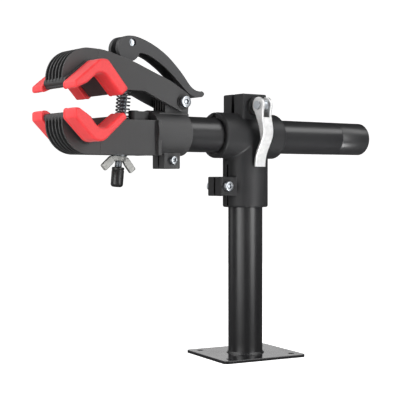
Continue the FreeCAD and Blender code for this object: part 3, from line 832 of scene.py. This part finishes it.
def weld_bead():
    """Bead of overlapping puddles round the post's foot."""
    low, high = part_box("post_weld")
    foot = low.z
    leg = (high.z - low.z) / MM
    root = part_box("post_tube")[1].x / MM - 0.2
    bm = bmesh.new()
    rings = []
    for i in range(WELD_SEGMENTS):
        t = 2 * math.pi * i / WELD_SEGMENTS
        ripple = abs(math.sin(t * WELD_PUDDLES)) ** 0.6
        uneven = 1 + 0.05 * noise.noise(Vector((4 * math.cos(t), 4 * math.sin(t), 1)))
        size = leg * (0.80 + 0.13 * ripple) * uneven
        ring = []
        for k in range(ARC_STEPS + 1):
            a = math.pi / 2 * k / ARC_STEPS
            bulge = size * (0.62 + 0.30 * abs(math.cos(2 * a)))
            r = root + bulge * math.cos(a)
            ring.append(Vector((r * math.cos(t) * MM, r * math.sin(t) * MM, foot + bulge * math.sin(a) * MM)))
        ring.append(Vector((root * math.cos(t) * MM, root * math.sin(t) * MM, foot)))
        rings.append(ring)
    rings.append(rings[0])
    loft(bm, rings, close_ends=False)
    new_piece("foot_weld_bead", bm, "post_weld", smooth=60, matrix=Matrix.Identity(4))


weld_bead()

# ---------------------------------------------------------------- floor, lights and camera

FLOOR_IN_GLOSS = (0.12, 0.12, 0.12)
FLOOR_IN_DIFFUSE = (0.7, 0.7, 0.7)
FLOOR_GLOW = 0.8


def pale_floor():
    """White sweep that stays bright behind the object and throws little light back onto it."""
    mat = bpy.data.materials.new("pale_floor")
    mat.use_nodes = True
    tree = mat.node_tree
    bsdf = tree.nodes["Principled BSDF"]
    coord = tree.nodes.new("ShaderNodeTexCoord").outputs["Object"]
    link(tree, mix_colour(tree, noise_node(tree, coord, 3.0), (0.93, 0.93, 0.93), (0.95, 0.95, 0.95)),
         bsdf.inputs["Base Color"])
    bsdf.inputs["Roughness"].default_value = 0.9
    bsdf.inputs["Specular IOR Level"].default_value = 0.0
    bsdf.inputs["Emission Color"].default_value = (1, 1, 1, 1)
    bsdf.inputs["Emission Strength"].default_value = FLOOR_GLOW
    path = tree.nodes.new("ShaderNodeLightPath")
    dim = tree.nodes.new("ShaderNodeBsdfDiffuse")
    link(tree, mix_colour(tree, path.outputs["Is Diffuse Ray"], FLOOR_IN_GLOSS, FLOOR_IN_DIFFUSE),
         dim.inputs["Color"])
    choose = tree.nodes.new("ShaderNodeMixShader")
    link(tree, path.outputs["Is Camera Ray"], choose.inputs["Fac"])
    link(tree, dim.outputs["BSDF"], choose.inputs[1])
    link(tree, bsdf.outputs["BSDF"], choose.inputs[2])
    link(tree, choose.outputs["Shader"], tree.nodes["Material Output"].inputs["Surface"])
    return mat


CAMERA_TURN = math.radians(-28.1)
FLOOR_PROFILE = [(-2.2, 0.0), (1.6, 0.0), (2.1, 0.08), (2.5, 0.4), (2.7, 1.0), (2.75, 2.6)]
FLOOR_HALF = 3.2
FLOOR_DROP = 0.0002


def stage_floor():
    """Floor that curves up into a wall behind the object, square to the camera."""
    bm = bmesh.new()
    rows = []
    for x in (-FLOOR_HALF, FLOOR_HALF):
        rows.append([bm.verts.new((x, y, z)) for y, z in FLOOR_PROFILE])
    for i in range(len(FLOOR_PROFILE) - 1):
        bm.faces.new((rows[0][i], rows[1][i], rows[1][i + 1], rows[0][i + 1]))
    mesh = bpy.data.meshes.new("floor")
    bm.to_mesh(mesh)
    bm.free()
    for p in mesh.polygons:
        p.use_smooth = True
    floor = bpy.data.objects.new("floor", mesh)
    bpy.context.scene.collection.objects.link(floor)
    floor.rotation_euler = (0, 0, CAMERA_TURN)
    floor.location = (0, 0, -FLOOR_DROP)
    floor.data.materials.append(pale_floor())


def camera_space(right, back, up):
    """Row-frame point given to the camera's right, away from it, and up, from the post's foot."""
    c, s = math.cos(CAMERA_TURN), math.sin(CAMERA_TURN)
    return Vector((right * c - back * s, right * s + back * c, up))


def arm_space(along, side, up):
    """Row-frame point given along the arm, to the camera's side, and up, from its axis over the post."""
    centre = Vector(joints["arm_roll"]["pos_m"])
    return centre + ARM_AXIS * along + ARM_AXIS.cross(Vector((0, 0, 1))) * side + Vector((0, 0, up))


def soft_box(name, location, aim, width, height, radiance, along=(0, 0, 1), spread=180):
    """Rectangular light facing aim; its height runs exactly along the given direction."""
    data = bpy.data.lights.new(name, "AREA")
    data.shape = "RECTANGLE"
    data.size = width
    data.size_y = height
    data.energy = radiance * math.pi * width * height
    data.spread = math.radians(spread)
    obj = bpy.data.objects.new(name, data)
    bpy.context.scene.collection.objects.link(obj)
    up = Vector(along).normalized()
    across = up.cross(Vector(location) - Vector(aim)).normalized()
    turn = Matrix((across, up, across.cross(up))).transposed().to_4x4()
    turn.translation = Vector(location)
    obj.matrix_world = turn
    obj.visible_camera = False


WORLD_ON_OBJECT = 0.12


def stage_lights():
    """Tall boxes either side, strips along the arm for its bands of gloss, and weak fills."""
    middle = Vector((0, 0, 0.2))
    arm = arm_space(0, 0, 0)
    soft_box("right_box", camera_space(0.76, -0.70, 0.30), middle, 0.48, 0.9, 5.0)
    soft_box("left_box", camera_space(-0.72, -0.72, 0.34), middle, 0.42, 0.9, 5.0)
    soft_box("left_high", camera_space(-1.0, -0.05, 1.15), middle, 0.7, 0.7, 7.0)
    soft_box("arm_strip_high", arm_space(0.72, 0.57, 0.76), arm, 0.55, 1.2, 3.3, ARM_AXIS)
    soft_box("arm_strip_low", arm_space(0.27, 0.225, -0.215), arm, 0.12, 0.7, 2.0, ARM_AXIS, 50)
    soft_box("left_low", arm_space(-0.62, 0.34, -0.20), arm_space(-0.2, 0, 0), 0.3, 0.3, 2.2)
    soft_box("left_back", camera_space(-1.15, 0.35, 0.35), middle, 0.5, 0.8, 0.9)
    soft_box("back_low", camera_space(-0.1, 1.3, 0.3), (0, 0, 0), 0.8, 0.5, 0.75)
    world = bpy.data.worlds.new("studio")
    world.use_nodes = True
    tree = world.node_tree
    background = tree.nodes["Background"]
    background.inputs["Color"].default_value = (1, 1, 1, 1)
    ray = tree.nodes.new("ShaderNodeLightPath").outputs["Is Camera Ray"]
    link(tree, remap(tree, ray, 0.0, 1.0, WORLD_ON_OBJECT, 1.0), background.inputs["Strength"])
    bpy.context.scene.world = world
    bpy.context.scene.view_settings.view_transform = "Standard"


CAMERA_LENS = 94.5
CAMERA_SENSOR = 36
CAMERA_SHIFT = -0.0525
CAMERA_PLACE = (-0.594, -1.0057, 0.195)


def stage_camera():
    data = bpy.data.cameras.new("camera")
    data.lens = CAMERA_LENS
    data.sensor_width = CAMERA_SENSOR
    data.shift_y = CAMERA_SHIFT
    obj = bpy.data.objects.new("camera", data)
    bpy.context.scene.collection.objects.link(obj)
    obj.location = CAMERA_PLACE
    obj.rotation_euler = (math.radians(90), 0, CAMERA_TURN)
    bpy.context.scene.camera = obj


stage_floor()
stage_lights()
stage_camera()
